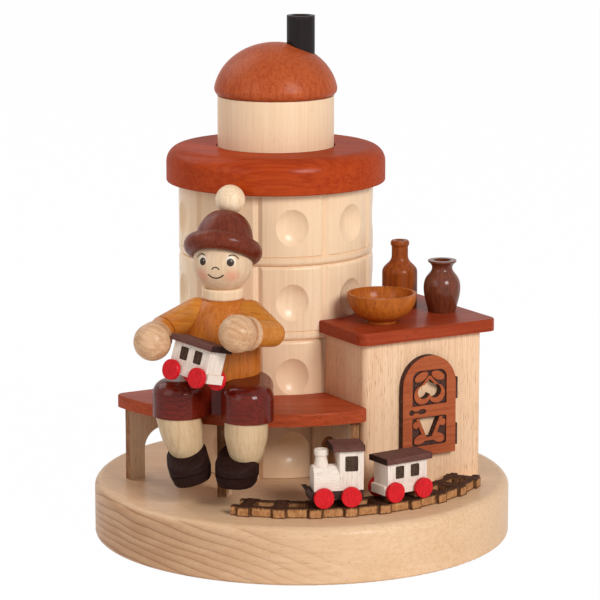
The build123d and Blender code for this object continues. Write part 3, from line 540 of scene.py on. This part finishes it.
def dress_stove():
    """Base, tiled rows, cornice, lid and the plate for the cone."""
    base_finish().dress("base_plate")
    # Pale tone of each row's wood; the third row's lighter tone is painted light that brightens a row
    # rendering in shade
    pales_with_painted_light = ((243, 209, 172), (246, 214, 178), (252, 221, 186), (246, 214, 178))
    for index, pale in enumerate(pales_with_painted_light):
        row_finish(index, pale).dress(f"stove_row_{index + 1}")
    lacquered("neck_wood", stove, stains((247, 216, 181), (240, 204, 166), (206, 158, 116)),
              pore_share=0.3, pore_edge=0.64).dress("neck")
    lacquered("dome_stain", stove, stains((193, 94, 50), (167, 69, 31), (104, 36, 15)),
              coat=0.15, coat_roughness=0.3, pore_share=0.7, pore_length=1.5, pore_size=0.2,
              pore_edge=0.57).dress("dome")
    lacquered("cornice_stain", stove, stains((185, 71, 25), (157, 50, 14), (88, 24, 7)), "X",
              coat_roughness=0.25, sheen=0.0, pore_share=0.3).dress("cornice_ring")
    pipe_finish().dress("chimney")
    plate_finish().dress("cone_plate")


def dress_furniture():
    """Bench, side stove with its ware, and the track."""
    lacquered("bench_stain", stove, stains((182, 80, 44), (154, 58, 26), (88, 26, 9)), "X",
              coat=0.1, pore_share=0.5).dress("bench_seat")
    leg_finish().dress("bench_legs")
    lacquered("side_stove_wood", side, stains((244, 208, 172), (228, 182, 142), (168, 98, 62)),
              gloss=0.44, coat=0.15, coat_roughness=0.14, pore_share=0.7, pore_length=4.0,
              pore_size=0.24, streak=0.5, streak_length=42.0).dress("side_stove")
    lacquered("slab_stain", side, stains((166, 68, 36), (140, 48, 21), (80, 23, 8)), "X",
              coat=0.1).dress("side_stove_top")
    door_finish().dress("oven_door")
    lacquered("bowl_stain", side, stains((194, 108, 36), (160, 78, 22), (104, 46, 12)),
              pore_share=0.7, pore_length=2.4).dress("bowl")
    lacquered("bottle_stain", side, stains((164, 82, 28), (126, 54, 16), (78, 28, 8)),
              pore_share=0.5).dress("bottle")
    lacquered("jug_stain", side, stains((124, 62, 38), (92, 41, 25), (48, 18, 11)),
              gloss=0.34, coat=0.45, coat_roughness=0.12).dress("jug")
    track_finish().dress("track")


def dress_train():
    """Engine, wagon and the wagon that the boy holds."""
    car_finish("loco_cab_wash", engine, CAB_WINDOWS).dress("loco_cab")
    white_finish("loco_boiler_wash", engine, "X").dress("loco_boiler")
    white_finish("loco_stack_wash", engine, "Z").dress("loco_stack")
    lacquered("loco_chassis_stain", engine, stains((72, 56, 50), (52, 40, 36), (30, 22, 20)), "X",
              gloss=0.55, coat=0.0).dress("loco_chassis")
    roof_finish("loco_roof_stain", engine, LOCO_ROOF).dress("loco_roof")
    for prefix, where in (("wagon", wagon), ("toy_wagon", toy)):
        car_finish(f"{prefix}_body_wash", where, WAGON_WINDOWS).dress(f"{prefix}_body")
        white_finish(f"{prefix}_chassis_wash", where, "X").dress(f"{prefix}_chassis")
        roof_finish(f"{prefix}_roof_stain", where, WAGON_ROOF).dress(f"{prefix}_roof")
    wheels = wheel_finish()
    axles = axle_finish()
    for prefix in ("loco", "wagon", "toy_wagon"):
        for end in ("front", "rear"):
            wheels.dress(f"{prefix}_{end}_wheels")
            axles.dress(f"{prefix}_{end}_axle")


def dress_boy():
    """The boy's clothes, hands and face."""
    light = stains((250, 224, 190), (238, 202, 162), (190, 140, 98))
    lacquered("shirt_stain", seat, stains((206, 122, 48), (178, 94, 31), (124, 57, 15)),
              gloss=0.36, pore_length=4.0).dress("torso")
    lacquered("sleeve_stain", seat, stains((212, 136, 54), (186, 108, 36), (136, 68, 18)), "X",
              gloss=0.36).dress("upper_arm_left", "upper_arm_right", "forearm_left", "forearm_right")
    lacquered("hand_wood", seat @ tilted(HAND_TILT, "Y"),
              stains((226, 184, 145), (190, 139, 98), (142, 88, 55)), "X", pore_share=0.45,
              pore_length=6.0, pore_edge=0.58, streak=1.3,
              streak_length=18.0).dress("hand_left", "hand_right")
    lacquered("collar_wood", seat, light, pore_share=0.3).dress("collar")
    lacquered("pompom_wood", seat, light, pore_share=0.55, pore_length=14.0, pore_size=0.28,
              pore_edge=0.57).dress("pompom")
    face_finish().dress("head")
    lacquered("hat_stain", head @ tilted(HAT_TILT, "X"),
              stains((126, 55, 34), (94, 35, 20), (48, 15, 8)), gloss=0.34, pore_length=1.6).dress("hat")
    lacquered("trousers_stain", seat, stains((114, 32, 16), (76, 15, 8), (40, 8, 4)), "X",
              gloss=0.34, coat=0.4, coat_roughness=0.12, sheen=0.03, pore_share=0.4, streak=0.8,
              streak_length=22.0).dress("trousers_seat", "thigh_left", "thigh_right")
    lacquered("stocking_wood", seat, stains((214, 184, 146), (196, 161, 121), (158, 117, 80)),
              gloss=0.3, pore_share=0.3).dress("shin_left", "shin_right")
    lacquered("shoe_stain", seat, stains((46, 27, 23), (34, 18, 15), (19, 10, 8)), "Y",
              gloss=0.55, coat=0.0).dress("shoe_left", "shoe_right")


def set_camera(scene):
    """Camera at the photograph's angle."""
    camera = bpy.data.objects.new("camera", bpy.data.cameras.new("camera"))
    camera.data.sensor_width = CAMERA_SENSOR
    camera.data.lens = CAMERA_LENS
    camera.data.clip_end = CAMERA_REACH
    camera.location = CAMERA_SPOT
    camera.rotation_euler = (math.radians(90 - CAMERA_DIP), 0, 0)
    scene.collection.objects.link(camera)
    scene.camera = camera


def hang_lamps(scene):
    """Soft lamps that point at the middle of the object."""
    aim = Vector(LAMP_AIM)
    for name, (spot, width, power) in LAMPS.items():
        lamp = bpy.data.lights.new(name, "AREA")
        lamp.energy = power
        lamp.size = width
        holder = bpy.data.objects.new(name, lamp)
        holder.location = spot
        holder.rotation_euler = (aim - Vector(spot)).to_track_quat("-Z", "Y").to_euler()
        scene.collection.objects.link(holder)


def light_room(scene):
    """Faint light from all round, shown as plain white."""
    world = bpy.data.worlds.new("studio")
    world.use_nodes = True
    room = Tree(world.node_tree)
    level = room.node("MapRange", sockets={"Value": room.background_rays(), "To Min": ROOM_LIGHT,
                                           "To Max": 1.0})
    background = room.nodes["Background"].inputs
    room.feed(background["Color"], WHITE)
    room.feed(background["Strength"], level)
    scene.world = world


def lay_floor():
    """Pale floor that keeps the object's shadow."""
    bpy.ops.mesh.primitive_plane_add(size=FLOOR_WIDTH, location=(0, 0, 0))
    floor = bpy.context.object
    floor.name = "floor"
    paper = Finish("floor_paper")
    matte = paper.node("BsdfDiffuse", sockets={"Color": FLOOR_PAINT})
    glow = paper.node("Emission", sockets={"Color": WHITE, "Strength": 1.0})
    shown = paper.background_rays() * FLOOR_GLOW
    mixed = paper.node("MixShader", sockets={0: shown, 1: matte, 2: glow})
    paper.feed(paper.nodes["Material Output"].inputs["Surface"], mixed)
    floor.data.materials.append(paper.material)


bpy.context.scene.view_settings.view_transform = "Standard"
set_camera(bpy.context.scene)
hang_lamps(bpy.context.scene)
light_room(bpy.context.scene)
lay_floor()
dress_stove()
dress_furniture()
dress_train()
dress_boy()
